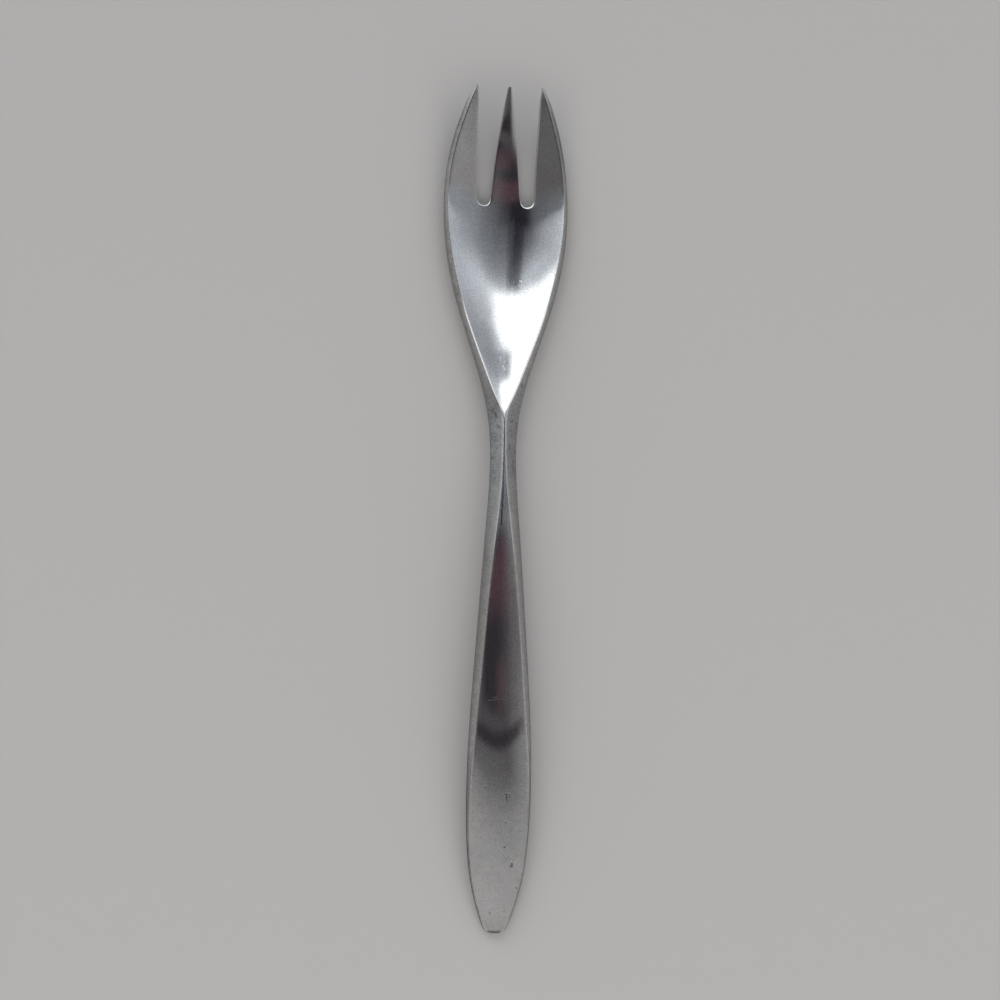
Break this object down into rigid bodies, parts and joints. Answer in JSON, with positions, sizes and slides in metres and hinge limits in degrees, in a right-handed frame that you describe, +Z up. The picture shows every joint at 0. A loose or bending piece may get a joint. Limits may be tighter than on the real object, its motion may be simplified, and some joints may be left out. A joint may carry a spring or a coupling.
{
  "type": "salad fork",
  "caption": "One-piece forged steel salad fork with a dished leaf-shaped head cut into tines, a thin ridged neck and a flat paddle handle.",
  "frame": {"origin": "centre of the fork's box, on the table that it lies on", "axes": "+Y along the fork towards the tine tips, +Z up out of the hollow face, +X to the right as the face is looked at with the tines up"},
  "size_m": [0.0252, 0.165, 0.0083],
  "materials": {
    "steel": "polished front face, satin flanks and back, fine scratches from use"
  },
  "bodies": {
    "root": {"salad_fork": "steel"}
  },
  "joints": []
}
